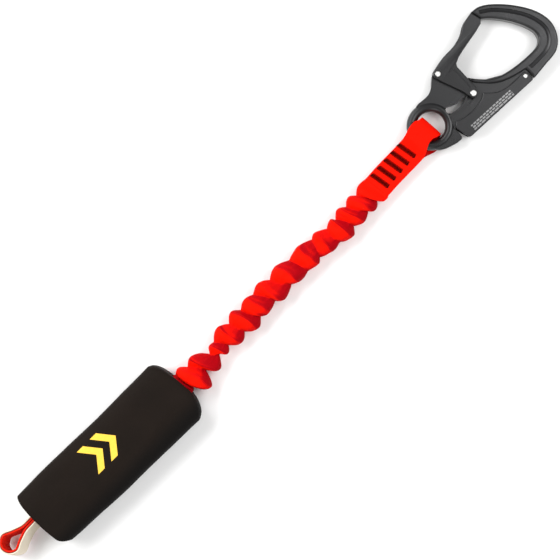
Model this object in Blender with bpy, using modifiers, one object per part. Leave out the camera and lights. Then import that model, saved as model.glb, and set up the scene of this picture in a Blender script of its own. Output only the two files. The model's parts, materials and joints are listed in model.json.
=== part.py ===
"""Shock absorbing lanyard: a palm-squeeze snap hook, a gathered elastic webbing leg and a tear-webbing pack.

Sizes are in millimetres and MM turns them into metres. The lanyard lies on its flat side: +X runs from the
pack to the hook, +Y across it, +Z up. The origin is the middle of the pack's flat underside.
Hook outlines are in the hook's own plane: along from the eye's centre, across towards the gate.
"""

import math

import bmesh
import bpy
from mathutils import Matrix

MM = 0.001

# Clearances
GAP = 0.3  # between pieces that lie against each other
RIVET_FIT = 0.1  # round a rivet, pin or seam in its hole
RUNNING_GAP = 0.3  # between sheet parts that slide past each other

# Webbing
WEBBING_WIDTH = 20.0
WEBBING_THICKNESS = 2.0

# Absorber pack
PACK_LENGTH = 137.0  # between the corner roundings at both ends
PACK_EDGE_ROOM = 4.0  # from the webbing's edges, which stand upright in the pack, to the sleeve's faces
PACK_TAIL_WIDTH = 50.5
PACK_MOUTH_WIDTH = 54.0
PACK_CORNER = 10.0
MOUTH_BULGE = 7.0
SLEEVE_WALL = 1.3
TAIL_SLOT_Y = 4.0
TEAR_THICKNESS = 2.5  # the two bands woven into one
TEAR_RUNS = 13  # odd, so that the band leaves at the mouth
TEAR_SPACING = 0.4
LEAD_LENGTH = 14.0  # flat end of the tear webbing that the straps are sewn to
TACK_LENGTH = 15.0
TACK_WIDTH = 1.6
TACK_PROUD = 0.5

# Tail loop
TAIL_LOOP_REACH = 29.0
TAIL_LOOP_WIDTH = 18.0
TAIL_OUTER_THICKNESS = 1.2
TAIL_INNER_THICKNESS = 1.6
TAIL_LEAN = math.radians(-14)

# Leg
LEG_LENGTH = 196.0  # from the sleeve's mouth to the stitched tab
LEG_RADIUS = 9.8
SHEATH_WALL = 3.2
CORE_RADIUS = 4.0

# Stitched tab and the loop round the eye
TAB_LENGTH = 60.0  # from the end of the gathers to the eye's centre
EYE_OFFSET = 3.8  # how far the eye lies off the pack's centre line
TILT_ROOM = 1.5  # on each side of the line where the loop bends
TAB_TACKS = 5
TAB_TACK_PITCH = 7.2
TAB_TACK_SHIFT = 1.6  # how far the bar tacks stand off the webbing's middle

# Hook
EYE_PLAY = 0.4
EYE_RADIUS = WEBBING_WIDTH / 2 + EYE_PLAY
RING_BAR = 7.0
RING_HALF = 4.5
RING_RADIUS = EYE_RADIUS + RING_BAR
WEB_HALF = 3.0  # half the thickness of the forged plate between ring and basket
BAR_HALF = 5.5  # half the thickness of the basket's bar
BAR_EDGE = 1.6  # how far the bar's rims are rounded
LEVER_SHEET = 1.5
LEVER_WALL = 2.0
GATE_SHEET = 1.8
PANEL_DEPTH = 0.5
GATE_TIP_SCALE = 0.8  # the gate's thickness at its nose, against that at its pivot
PIVOT_SHANK = 1.5
PIVOT_HEAD = 2.0
GUIDE_SHANK = 1.8
GUIDE_HEAD = 2.2
LEVER_SHANK = 1.2
LEVER_HEAD = 1.5
HEAD_HEIGHT = 0.8
GUIDE_RADIUS = 29.0  # from the gate's pivot to its guide pins
GUIDE_ANGLE = math.radians(-73)
GATE_SWING = math.radians(38)
LEVER_TRAVEL = math.radians(5)
GROOVE_FLOOR = 1.1  # what is left on each side of the plate's middle under a guide groove
SPRING_WIRE = 0.6
BASKET_LENGTH = 70.5

# Worked out from the above
PACK_THICKNESS = WEBBING_WIDTH + 2 * PACK_EDGE_ROOM
PACK_TAIL_X = -PACK_LENGTH / 2 - 2.5
PACK_MOUTH_X = PACK_LENGTH / 2 - 2.5
MOUTH_X = PACK_MOUTH_X + MOUTH_BULGE
PACK_MID_Z = PACK_THICKNESS / 2
LEVER_INNER = WEB_HALF + RUNNING_GAP
LEVER_OUTER = LEVER_INNER + LEVER_SHEET
GATE_INNER = LEVER_OUTER + RUNNING_GAP
GATE_OUTER = GATE_INNER + GATE_SHEET
HOOK_HALF = GATE_OUTER + RUNNING_GAP + HEAD_HEIGHT
LEG_START_X = MOUTH_X + 2.0
LEG_END_X = MOUTH_X + LEG_LENGTH
EYE = (LEG_END_X + TAB_LENGTH, EYE_OFFSET, HOOK_HALF)
TAB_TURN = math.atan2(EYE_OFFSET, TAB_LENGTH)
LEG_STOP_X = LEG_END_X - GAP - WEBBING_WIDTH / 2 * math.sin(TAB_TURN)  # clear of the turned tab's corner
LOOP_INNER = RING_HALF + GAP + 0.05
TILT_BACK = RING_RADIUS + 3.6  # from the eye's centre back to the line where the loop bends
TAB_TACK_FIRST = TILT_BACK + 3.6
BODY_U = RING_RADIUS  # the plate starts at the ring's outer edge
GATE_PIVOT = (BODY_U + 12.1, 22.8)
BASKET_U = BODY_U + 26.0
LEVER_PIVOT = (BASKET_U + 0.423 * BASKET_LENGTH, -22.6)
NOSE_LOW = (BASKET_U + 0.515 * BASKET_LENGTH, 29.0)  # the lower corner of the frame's nose
NOSE_RADIUS = math.dist(GATE_PIVOT, NOSE_LOW)
NOSE_TOP = 37.4
TAIL_HINGE_X = PACK_TAIL_X - 2.8  # just outside the sleeve
LEG_Z = LEG_RADIUS + 0.2  # the leg lies on what the pack lies on


# ---------------------------------------------------------------- outlines


def polar(centre, radius, angle):
    return (centre[0] + radius * math.cos(angle), centre[1] + radius * math.sin(angle))


def arc(centre, radius, start, end, count):
    """Points from one angle to another, both ends included."""
    return [polar(centre, radius, start + (end - start) * i / (count - 1)) for i in range(count)]


def smooth(points, per_span=4):
    """Points of a Catmull-Rom curve through the given ones, its two ends included."""
    padded = [points[0]] + list(points) + [points[-1]]
    result = []
    for before, start, end, after in zip(padded, padded[1:], padded[2:], padded[3:]):
        for step in range(per_span):
            t = step / per_span
            weights = (-t + 2 * t**2 - t**3, 2 - 5 * t**2 + 3 * t**3, t + 4 * t**2 - 3 * t**3, -(t**2) + t**3)
            corners = (before, start, end, after)
            result.append(tuple(sum(w * c[k] for w, c in zip(weights, corners)) / 2 for k in range(2)))
    return result + [tuple(points[-1])]


def headed(points):
    """An open path's points, each with its heading."""
    pairs = zip([points[0]] + list(points), points, list(points[1:]) + [points[-1]])
    return [(x, y, math.atan2(ahead[1] - behind[1], ahead[0] - behind[0])) for behind, (x, y), ahead in pairs]


def rounded_path(points, radii, per_corner=5):
    """An open path whose corners are arcs of the given radii, each point with its heading."""
    ends = headed([points[0], points[1]])[:1], headed([points[-2], points[-1]])[1:]
    result = []
    for before, corner, after, radius in zip(points, points[1:], points[2:], radii):
        back = math.atan2(before[1] - corner[1], before[0] - corner[0])
        onward = math.atan2(after[1] - corner[1], after[0] - corner[0])
        inside = (onward - back + math.pi) % (2 * math.pi) - math.pi
        centre = polar(corner, radius / math.sin(abs(inside) / 2), back + inside / 2)
        side = math.copysign(math.pi / 2, inside)
        sweep = inside - 2 * side
        for i in range(per_corner):
            angle = back - side + sweep * i / (per_corner - 1)
            point = (*polar(centre, radius, angle), angle - side)
            if not result or math.dist(point[:2], result[-1][:2]) > 0.01:
                result.append(point)
    return ends[0] + result + ends[1]


def band(path, thickness, shift=0.0):
    """The closed outline of a band of one thickness along an open path, shifted to the path's left."""
    left = [polar((x, y), shift + thickness / 2, heading + math.pi / 2) for x, y, heading in path]
    right = [polar((x, y), shift - thickness / 2, heading + math.pi / 2) for x, y, heading in path]
    return left + right[::-1]


# ---------------------------------------------------------------- solids


def clear_scene():
    for obj in list(bpy.data.objects):
        bpy.data.objects.remove(obj, do_unlink=True)


def add_object(name, data):
    obj = bpy.data.objects.new(name, data)
    PARTS.objects.link(obj)
    return obj


def evaluated_mesh(obj):
    """The object's mesh with its curve settings and modifiers applied, and its loose seams welded."""
    bpy.context.view_layer.update()
    graph = bpy.context.evaluated_depsgraph_get()
    mesh = bpy.data.meshes.new_from_object(obj.evaluated_get(graph))
    edit = bmesh.new()
    edit.from_mesh(mesh)
    bmesh.ops.remove_doubles(edit, verts=edit.verts, dist=0.002 * MM)
    bmesh.ops.recalc_face_normals(edit, faces=edit.faces)
    edit.to_mesh(mesh)
    edit.free()
    return mesh


def applied(obj):
    """The same object as a plain mesh."""
    mesh = evaluated_mesh(obj)
    if obj.type == "MESH":
        obj.modifiers.clear()
        obj.data = mesh
        return obj
    result = add_object(obj.name + "_solid", mesh)
    result.matrix_world = obj.matrix_world
    name = obj.name
    bpy.data.objects.remove(obj, do_unlink=True)
    result.name = name
    return result


def boolean(target, tools, operation):
    for tool in tools:
        modifier = target.modifiers.new(tool.name, "BOOLEAN")
        modifier.object = tool
        modifier.operation = operation
    applied(target)
    for tool in tools:
        bpy.data.objects.remove(tool, do_unlink=True)
    return target


def cut(target, *tools):
    return boolean(target, tools, "DIFFERENCE")


def join(target, *tools):
    return boolean(target, tools, "UNION")


def plate(name, points, half, edge=0.0, mid=0.0, roundness=1):
    """A flat outline, half its thickness to each side of height mid, with its rims rounded by edge."""
    curve = bpy.data.curves.new(name, "CURVE")
    curve.dimensions = "2D"
    curve.fill_mode = "BOTH"
    curve.extrude = (half - edge) * MM
    curve.bevel_depth = edge * MM
    curve.bevel_resolution = roundness
    curve.offset = -edge * MM
    spline = curve.splines.new("POLY")
    spline.points.add(len(points) - 1)
    for spot, point in zip(spline.points, points):
        spot.co = (point[0] * MM, point[1] * MM, 0, 1)
    spline.use_cyclic_u = True
    obj = add_object(name, curve)
    obj.location.z = mid * MM
    bpy.context.view_layer.update()
    return bake_place(applied(obj))


def bake_place(obj):
    """Moves the object's placement into its mesh."""
    bpy.context.view_layer.update()
    obj.data.transform(obj.matrix_world)
    obj.matrix_world = Matrix()
    return obj


def block(name, low, high):
    edit = bmesh.new()
    bmesh.ops.create_cube(edit, size=1)
    size = [(high[k] - low[k]) * MM for k in range(3)]
    middle = [(high[k] + low[k]) / 2 * MM for k in range(3)]
    place = Matrix.Translation(middle) @ Matrix.Diagonal(size + [1])
    bmesh.ops.transform(edit, verts=edit.verts, matrix=place)
    mesh = bpy.data.meshes.new(name)
    edit.to_mesh(mesh)
    edit.free()
    return add_object(name, mesh)


def cylinder(name, centre, radius, low, high, sides=24):
    edit = bmesh.new()
    bmesh.ops.create_cone(
        edit, cap_ends=True, segments=sides, radius1=radius * MM, radius2=radius * MM, depth=(high - low) * MM
    )
    place = Matrix.Translation((centre[0] * MM, centre[1] * MM, (high + low) / 2 * MM))
    bmesh.ops.transform(edit, verts=edit.verts, matrix=place)
    mesh = bpy.data.meshes.new(name)
    edit.to_mesh(mesh)
    edit.free()
    return add_object(name, mesh)


def turned(name, profile, centre=(0, 0), steps=24):
    """A solid of revolution about Z from (radius, height) points, listed from the top down."""
    mesh = bpy.data.meshes.new(name)
    edges = [(i, i + 1) for i in range(len(profile) - 1)]
    mesh.from_pydata([(r * MM, 0, z * MM) for r, z in profile], edges, [])
    obj = add_object(name, mesh)
    screw = obj.modifiers.new("turn", "SCREW")
    screw.steps = steps
    screw.render_steps = steps
    screw.use_merge_vertices = True
    screw.merge_threshold = 0.00001
    obj.location = (centre[0] * MM, centre[1] * MM, 0)
    return bake_place(applied(obj))


def wire(name, points, radius):
    """A round wire through 3D points."""
    curve = bpy.data.curves.new(name, "CURVE")
    curve.dimensions = "3D"
    curve.bevel_depth = radius * MM
    curve.bevel_resolution = 2
    curve.use_fill_caps = True
    spline = curve.splines.new("POLY")
    spline.points.add(len(points) - 1)
    for spot, point in zip(spline.points, points):
        spot.co = (point[0] * MM, point[1] * MM, point[2] * MM, 1)
    return applied(add_object(name, curve))


def swept_groove(name, path, radius, height):
    return wire(name, [(x, y, height) for x, y in path], radius)


def loft(name, rings, wall):
    """A skin through rings of equal point counts, thickened inwards, open at both ends."""
    count = len(rings[0])
    verts = [[c * MM for c in point] for ring in rings for point in ring]
    faces = [
        (i * count + j, i * count + (j + 1) % count, (i + 1) * count + (j + 1) % count, (i + 1) * count + j)
        for i in range(len(rings) - 1)
        for j in range(count)
    ]
    mesh = bpy.data.meshes.new(name)
    mesh.from_pydata(verts, [], faces)
    obj = add_object(name, mesh)
    skin = obj.modifiers.new("wall", "SOLIDIFY")
    skin.thickness = wall * MM
    skin.offset = -1
    skin.use_even_offset = True
    return applied(obj)


# ---------------------------------------------------------------- materials


def material(name, colour, roughness, metallic=0.0):
    made = bpy.data.materials.new(name)
    made.use_nodes = True
    shader = made.node_tree.nodes["Principled BSDF"]
    shader.inputs["Base Color"].default_value = (*colour, 1)
    shader.inputs["Roughness"].default_value = roughness
    shader.inputs["Metallic"].default_value = metallic
    return made


def finish(obj, surface, sharp=35):
    """Gives a finished piece its material and its shading."""
    obj.data.materials.clear()
    obj.data.materials.append(surface)
    obj.data.shade_smooth()
    obj.data.set_sharp_from_angle(angle=math.radians(sharp))
    return obj


def empty(name, place, turn=0.0, parent=None):
    """A frame to build in. Place is in millimetres, in the parent's frame."""
    made = bpy.data.objects.new(name, None)
    PARTS.objects.link(made)
    made.empty_display_size = 0.01
    made.location = [c * MM for c in place]
    made.rotation_euler.z = turn
    made.parent = parent
    return made


def hang(obj, parent, origin=(0, 0, 0)):
    """Parents a piece whose mesh is in the frame that origin is measured in to an empty at that origin."""
    obj.data.transform(Matrix.Translation([-c * MM for c in origin]))
    obj.parent = parent
    return obj


# ---------------------------------------------------------------- absorber pack


def rounded_section(x, half_y, half_z, corner, middle_y):
    """One ring of the sleeve: a rounded rectangle across the pack at x."""
    points = []
    for turn, (sign_y, sign_z) in enumerate(((1, 1), (-1, 1), (-1, -1), (1, -1))):
        centre = (middle_y + sign_y * (half_y - corner), PACK_MID_Z + sign_z * (half_z - corner))
        start = turn * math.pi / 2
        points += [(x, y, z) for y, z in arc(centre, corner, start, start + math.pi / 2, 6)]
    return points


def sleeve_section(x, opening, full, share):
    """A ring between an end's opening and the pack's full section."""
    blend = [a + (b - a) * share for a, b in zip(opening, full)]
    return rounded_section(x, *blend)


def absorber_sleeve():
    tail_full = (PACK_TAIL_WIDTH / 2, PACK_THICKNESS / 2, PACK_CORNER, 0)
    mouth_full = (PACK_MOUTH_WIDTH / 2, PACK_THICKNESS / 2, PACK_CORNER, -0.6)
    strap = WEBBING_WIDTH / 2 + 1.6
    tail_open = (TEAR_THICKNESS / 2 + WEBBING_THICKNESS + 3.2, strap, 3.0, TAIL_SLOT_Y)
    mouth_open = (LEG_RADIUS + 1.2, LEG_RADIUS + 0.6, 8.0, 0)
    rings = [sleeve_section(PACK_TAIL_X + 0.3 - 0.6 * s, tail_open, tail_full, s) for s in (0, 0.45, 0.8)]
    rings += [sleeve_section(PACK_TAIL_X + x, tail_open, tail_full, s) for x, s in ((0.6, 0.93), (2.6, 0.99))]
    body_start = PACK_TAIL_X + 5.5
    body_end = PACK_MOUTH_X - 5.0
    for step in range(5):
        share = step / 4
        x = body_start + (body_end - body_start) * share
        rings.append(sleeve_section(x, tail_full, mouth_full, share))
    for back, share in ((0.85, 0.97), (0.55, 0.86), (0.28, 0.66), (0.09, 0.4), (0.0, 0.0)):
        rings.append(sleeve_section(MOUTH_X - MOUTH_BULGE * back, mouth_open, mouth_full, share))
    return finish(loft("absorber_sleeve", rings, SLEEVE_WALL), SLEEVE_BLACK, 60)


def tear_path():
    """The folded tear webbing, from its tail lead through every run to its mouth lead."""
    pitch = TEAR_THICKNESS + TEAR_SPACING
    side = (TEAR_RUNS - 1) / 2 * pitch
    turn_x = lead_turn_x() - TEAR_THICKNESS - TEAR_SPACING - pitch / 2
    points = [(-lead_end_x(), TAIL_SLOT_Y), (-lead_turn_x(), TAIL_SLOT_Y), (-lead_turn_x(), -side)]
    for run in range(TEAR_RUNS - 1):
        x = turn_x if run % 2 == 0 else -turn_x
        points += [(x, run * pitch - side), (x, (run + 1) * pitch - side)]
    return points + [(lead_turn_x(), side), (lead_turn_x(), 0), (lead_end_x(), 0)]


def lead_end_x():
    return PACK_LENGTH / 2 - 6.0


def lead_turn_x():
    return lead_end_x() - LEAD_LENGTH


def tear_webbing():
    pitch = TEAR_THICKNESS + TEAR_SPACING
    path = tear_path()
    outline = band(rounded_path(path, [pitch / 2] * len(path)), TEAR_THICKNESS)
    solid = plate("tear_webbing", outline, WEBBING_WIDTH / 2, mid=PACK_MID_Z)
    slots = [tack_block(f"slot_{i}", tack, RIVET_FIT) for i, tack in enumerate(pack_tacks().values())]
    return finish(cut(solid, *slots), TEAR_RED)


def strap_outline(side, middle_y):
    """A strap's end folded round a lead, in plan. Side is +1 at the mouth and -1 at the tail."""
    half = TEAR_THICKNESS / 2 + GAP + WEBBING_THICKNESS / 2
    open_x = side * (lead_turn_x() + TEAR_THICKNESS / 2 + GAP)
    fold_x = side * (lead_end_x() + GAP + WEBBING_THICKNESS)
    corners = [(open_x, half), (fold_x, half), (fold_x, -half), (open_x, -half)]
    return band(rounded_path([(x, y + middle_y) for x, y in corners], [half, half]), WEBBING_THICKNESS)


def pack_tacks():
    """The bar tacks inside the pack: name to (x, middle y)."""
    return {
        f"{end}_tack_{number}": (side * (lead_end_x() - LEAD_LENGTH * share), y)
        for end, side, y in (("mouth", 1, 0), ("tail", -1, TAIL_SLOT_Y))
        for number, share in ((1, 0.22), (2, 0.62))
    }


def tack_block(name, place, room=0.0):
    """A bar tack through a lead and the two plies of strap on it."""
    half = TEAR_THICKNESS / 2 + GAP + WEBBING_THICKNESS + TACK_PROUD
    half_x = TACK_WIDTH / 2 + room
    half_z = TACK_LENGTH / 2 + room
    x, y = place
    low = (x - half_x, y - half, PACK_MID_Z - half_z)
    return block(name, low, (x + half_x, y + half, PACK_MID_Z + half_z))


def pack_strap(name, side, middle_y):
    solid = plate(name, strap_outline(side, middle_y), WEBBING_WIDTH / 2, mid=PACK_MID_Z)
    end = "mouth" if side > 0 else "tail"
    tacks = [place for tack, place in pack_tacks().items() if tack.startswith(end)]
    slots = [tack_block(f"slot_{i}", place, RIVET_FIT) for i, place in enumerate(tacks)]
    return finish(cut(solid, *slots), WEBBING_RED)


def build_pack():
    absorber_sleeve()
    tear_webbing()
    pack_strap("leg_strap", 1, 0)
    pack_strap("tail_strap", -1, TAIL_SLOT_Y)
    for name, place in pack_tacks().items():
        finish(tack_block(name, place), THREAD_BLACK)


# ---------------------------------------------------------------- tail loop


def tail_loop_path():
    """The outside of a teardrop loop in plan, measured from its neck towards -X, out on one side and back."""
    reach = TAIL_LOOP_REACH
    half = TAIL_LOOP_WIDTH / 2
    neck = GAP / 2 + TAIL_INNER_THICKNESS + GAP + TAIL_OUTER_THICKNESS
    upper = [(0, neck), (-0.2 * reach, neck + 0.3), (-0.45 * reach, 0.68 * half), (-0.7 * reach, half)]
    upper.append((-0.92 * reach, 0.66 * half))
    return headed(smooth(upper + [(-reach, 0)] + [(x, -y) for x, y in reversed(upper)]))


def build_tail_loop():
    root = empty("tail_loop_axis", (TAIL_HINGE_X, TAIL_SLOT_Y, PACK_MID_Z))
    root.rotation_euler.x = TAIL_LEAN
    outer_shift = TAIL_OUTER_THICKNESS / 2
    inner_shift = TAIL_OUTER_THICKNESS + GAP + TAIL_INNER_THICKNESS / 2
    outer = band(tail_loop_path(), TAIL_OUTER_THICKNESS, outer_shift)
    inner = band(tail_loop_path(), TAIL_INNER_THICKNESS, inner_shift)
    half_width = WEBBING_WIDTH / 2
    hang(finish(plate("tail_loop_outer", outer, half_width), WEBBING_CREAM, 50), root)
    hang(finish(plate("tail_loop_inner", inner, half_width), TEAR_RED, 50), root)


# ---------------------------------------------------------------- leg


def along_x(obj, start, height):
    """Lays a solid that stands on Z along +X from start."""
    turn = Matrix.Translation((start * MM, 0, height * MM)) @ Matrix.Rotation(math.pi / 2, 4, "Y")
    obj.data.transform(turn)
    return obj


def build_leg():
    length = LEG_STOP_X - LEG_START_X
    sheath = cylinder("leg_sheath", (0, 0), LEG_RADIUS, 0, length)
    cut(sheath, cylinder("bore", (0, 0), LEG_RADIUS - SHEATH_WALL, -1, length + 1))
    finish(along_x(sheath, LEG_START_X, LEG_Z), WEBBING_RED)
    core_start = lead_end_x() + 2 * WEBBING_THICKNESS
    core = cylinder("elastic_core", (0, 0), CORE_RADIUS, 0, LEG_STOP_X - core_start, 16)
    finish(along_x(core, core_start, LEG_Z), RUBBER)


# ---------------------------------------------------------------- tab and eye loop


def tab_tacks():
    """Where the tab's bar tacks stand, behind the eye's centre."""
    return [-TAB_TACK_FIRST - i * TAB_TACK_PITCH for i in range(TAB_TACKS)]


def tab_tack(name, x, room=0.0):
    half_z = GAP / 2 + WEBBING_THICKNESS + TACK_PROUD
    half_x = TACK_WIDTH / 2 + room
    half_y = TACK_LENGTH / 2 + room
    y = TAB_TACK_SHIFT
    return block(name, (x - half_x, y - half_y, -half_z), (x + half_x, y + half_y, half_z))


def build_tab():
    frame = empty("tab_frame", EYE, TAB_TURN)
    for name, side in (("tab_front", 1), ("tab_back", -1)):
        near = GAP / 2
        far = GAP / 2 + WEBBING_THICKNESS
        low = min(side * near, side * far)
        half = WEBBING_WIDTH / 2
        front_end = (-TILT_BACK - TILT_ROOM, half, low + WEBBING_THICKNESS)
        layer = block(name, (-TAB_LENGTH, -half, low), front_end)
        cut(layer, *[tab_tack(f"slot_{i}", x, RIVET_FIT) for i, x in enumerate(tab_tacks())])
        hang(finish(layer, WEBBING_RED), frame)
    for i, x in enumerate(tab_tacks()):
        hang(finish(tab_tack(f"bar_tack_{i + 1}", x), THREAD_BLACK), frame)


def build_eye_loop():
    """The webbing round the ring, whose origin is on the line where it bends."""
    middle = LOOP_INNER + WEBBING_THICKNESS / 2
    root = GAP / 2 + WEBBING_THICKNESS / 2
    start = -TILT_BACK + TILT_ROOM
    shoulder = 1.2 - RING_RADIUS
    upper = [(start, root), (shoulder, middle), (0.2, middle)]
    lower = [(x, -z) for x, z in reversed(upper)]
    path = rounded_path(upper + lower, [2.0, middle, middle, 2.0])
    solid = plate("eye_loop", band(path, WEBBING_THICKNESS), WEBBING_WIDTH / 2)
    solid.data.transform(Matrix.Rotation(math.pi / 2, 4, "X"))
    frame = empty("tilt_frame", EYE, TAB_TURN)
    axis = empty("tilt_axis", (-TILT_BACK, 0, 0), parent=frame)
    hang(finish(solid, WEBBING_RED, 50), axis, (-TILT_BACK, 0, 0))


# ---------------------------------------------------------------- hook


def body(along, across):
    """A point of the plate, measured from the ring's outer edge."""
    return (BODY_U + along, across)


def basket(share, across):
    """A point of the basket, as a share of its length from the gate's side to the crown."""
    return (BASKET_U + share * BASKET_LENGTH, across)


def basket_inside():
    corner = [(0.515, 29.0), (0.59, 24.3), (0.66, 18), (0.733, 10), (0.785, 2), (0.807, -5), (0.782, -10.6)]
    floor = [(0.705, -13.4), (0.55, -13.4), (0.38, -12.0), (0.235, -9.3), (0.125, -4.6), (0.045, 1.4)]
    return smooth([basket(*point) for point in corner + floor + [(0.0, 5.6)]])


def basket_outside():
    crown = [(0.49, NOSE_TOP), (0.565, 36.9), (0.635, 34.6), (0.72, 29.8), (0.815, 22.6), (0.9, 14.4)]
    heel = [(0.96, 6.6), (0.994, -1), (1.0, -8), (0.97, -15.4), (0.905, -21.8), (0.81, -25.8), (0.66, -26.9)]
    return smooth([basket(*point) for point in crown + heel + [(0.52, -27.9), (0.478, -28.0)]])


def rail_underside():
    run = [(0.478, -19.2), (0.4, -18.0), (0.3, -16.0), (0.2, -12.8), (0.115, -8.2), (0.045, -2.6)]
    return smooth([basket(*point) for point in run + [(0.0, 1.2)]])


def plate_outline():
    """The forged plate between the ring and the basket, with the lever's boss at its lower right."""
    pivot = GATE_PIVOT
    boss = LEVER_PIVOT
    top = [(-17.4, 14.6), (-14.0, 17.6), (-7.4, 17.2), (-2.4, 17.3), (1.6, 19.0), (4.8, 21.7), (8.2, 24.6)]
    points = smooth([body(*point) for point in top])
    points += arc(pivot, 3.2, math.radians(125), math.radians(40), 6)
    points += arc(pivot, 14.0, math.radians(8), math.radians(-63), 10)
    points += [body(25.2, 5.2), (BASKET_U + 3.0, -1.0), (boss[0], -16.5)]
    points += [(boss[0] + 5.0, -16.5), (boss[0] + 5.0, boss[1] + 1.0)]
    points += arc(boss, 3.0, math.radians(-30), math.radians(-120), 6)
    slope = math.tan(LEVER_TRAVEL) + 0.045
    for back in (14.0, 34.0, boss[0] - body(-1.4, 0)[0]):
        points.append((boss[0] - back, boss[1] + slope * back + 0.5))
    points.append(body(-5.9, -13.6))
    points.append((BODY_U - RING_RADIUS, -14.6))
    return points


def beak_outline():
    """The forged lobe that runs off the ring's lower side."""
    under = [(-28.4, -11.6), (-25.2, -16.4), (-21.4, -18.9), (-17.4, -20.4), (-12.4, -21.9), (-8.4, -22.3)]
    outer = smooth([body(*point) for point in under])
    inner = [(-7.0, -21.6), (-6.6, -17.5), (-6.2, -13.2), (-9, -9.8), (-17.4, -13.4)]
    return outer + [body(*point) for point in inner]


def window_outline():
    """The see-through window beside the guide grooves: round at the neck, pointed at the gate."""
    top = [(-2.4, -0.8), (-1.7, 1.0), (0.2, 1.5), (2.6, 0.5), (5.2, -0.9), (9.6, -1.8), (16.2, -2.1)]
    low = [(16.2, -2.1), (13.4, -3.7), (9.4, -4.9), (4.0, -4.8), (0.0, -3.8), (-2.0, -2.4), (-2.4, -0.8)]
    return smooth([body(*p) for p in top])[:-1] + smooth([body(*p) for p in low])[:-1]


def guide_groove(name, side):
    half = GUIDE_SHANK + 0.4
    start = GUIDE_ANGLE + math.radians(1.5)
    end = GUIDE_ANGLE - GATE_SWING - math.radians(1.5)
    outer = arc(GATE_PIVOT, GUIDE_RADIUS + half, start, end, 14)
    inner = arc(GATE_PIVOT, GUIDE_RADIUS - half, end, start, 14)
    far = arc(polar(GATE_PIVOT, GUIDE_RADIUS, end), half, end, end - math.pi, 7)[1:-1]
    near = arc(polar(GATE_PIVOT, GUIDE_RADIUS, start), half, start + math.pi, start, 7)[1:-1]
    depth = WEB_HALF - GROOVE_FLOOR
    return plate(name, outer + far + inner + near, depth, mid=side * (GROOVE_FLOOR + depth))


def nose_tongue():
    """The tongue that the closed gate's channel takes in."""
    nose = basket(0.515, 0)[0]
    corners = [(nose + 4, 31.6), (nose + 4, 36), (nose - 4.5, 35.2), (nose - 4.5, 31.4)]
    return plate("tongue", corners, 2.4, 0.6)


def ring():
    bpy.ops.mesh.primitive_torus_add(
        major_radius=(EYE_RADIUS + RING_BAR / 2) * MM,
        minor_radius=RING_BAR / 2 * MM,
        major_segments=48,
        minor_segments=20,
    )
    made = bpy.context.object
    made.data.transform(Matrix.Diagonal((1, 1, 2 * RING_HALF / RING_BAR, 1)))
    return made


def hook_frame():
    frame = plate("hook_frame", plate_outline(), WEB_HALF)
    cut(frame, cylinder("eye", (0, 0), EYE_RADIUS + RING_BAR / 2, -9, 9, 48))
    bar = basket_outside() + rail_underside() + basket_inside()[::-1]
    beak = cut(plate("beak", beak_outline(), 3.6, 0.8), cylinder("eye", (0, 0), EYE_RADIUS + 3.0, -9, 9, 48))
    join(frame, plate("bar", bar, BAR_HALF, BAR_EDGE, roundness=4), beak, ring(), nose_tongue())
    path = [(0.545, 33.4), (0.66, 27.6), (0.77, 18.6), (0.86, 8.6), (0.908, -1), (0.908, -9.4)]
    path += [(0.85, -16.4), (0.75, -19.9), (0.6, -20.6), (0.52, -20.4)]
    rim = smooth([basket(*point) for point in path])
    cut(
        frame,
        swept_groove("rim_groove", rim, 1.7, BAR_HALF + 0.5),
        swept_groove("rim_groove", rim, 1.7, -BAR_HALF - 0.5),
        plate("window", window_outline(), 9),
        guide_groove("groove", 1),
        guide_groove("groove", -1),
        cylinder("pivot", GATE_PIVOT, PIVOT_SHANK + RIVET_FIT, -9, 9),
        cylinder("lever_pivot", LEVER_PIVOT, LEVER_SHANK + RIVET_FIT, -9, 9),
        spring_pocket(),
        lever_recess("recess", 1),
        lever_recess("recess", -1),
    )
    return finish(frame, HOOK_BLACK)


def lever_recess(name, side):
    """What is cut from the ring's edge so that the squeezed lever's cheek can pass over the plate."""
    corners = [(-6.5, -16.0), (-5.2, -9.0), (-3.6, -4.4), (1.0, -2.6), (3.0, -16.0)]
    return plate(name, [body(*point) for point in corners], 2.0, mid=side * (WEB_HALF + 2.0))


def spring_pocket():
    """The pocket in the plate's upper face that the lever's spring lies in."""
    radius = 2.9
    points = arc(LEVER_PIVOT, radius, math.radians(-90), math.radians(90), 10)
    far = LEVER_PIVOT[0] - 11
    points += [(far, LEVER_PIVOT[1] + radius + 0.6), (far, LEVER_PIVOT[1] - radius - 2)]
    floor = 0.9
    depth = (WEB_HALF + 1 - floor) / 2
    return plate("pocket", points, depth, mid=floor + depth)


def gate_outline():
    guide = polar(GATE_PIVOT, GUIDE_RADIUS, GUIDE_ANGLE)
    nose = basket(0.515, 0)[0] - RUNNING_GAP
    tip = NOSE_RADIUS - RUNNING_GAP - 0.2
    tip_top, tip_low = (math.asin((v - GATE_PIVOT[1]) / tip) for v in (NOSE_TOP - 0.1, NOSE_LOW[1] + 0.2))
    top = [(11.0, 26.2), (15.0, 27.2), (20.0, 28.2), (24.0, 28.7), (33.0, 28.9), (39.8, 30.1)]
    points = arc(GATE_PIVOT, 3.4, math.radians(200), math.radians(105), 6)
    points += smooth([body(*p) for p in top] + [(nose - 17, 32.0), (nose - 13, 34.4), (nose - 9, 36.1)])
    points += arc(GATE_PIVOT, tip, tip_top, tip_low, 6)
    under = [(nose - 2.2, 26.8), (nose - 9, 25.1), body(42.6, 23.2), body(32.6, 21.2), body(26.8, 18.8)]
    points += smooth(under)
    points += [body(25.6, 16.6), body(25.2, 5.0), body(25.0, guide[1] + 1.5)]
    points += arc(guide, 3.4, math.radians(0), math.radians(-170), 9)
    points += smooth([body(15.6, 2.0), body(12.8, 10.0), body(10.2, 17.0)], 3)
    return points


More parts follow.
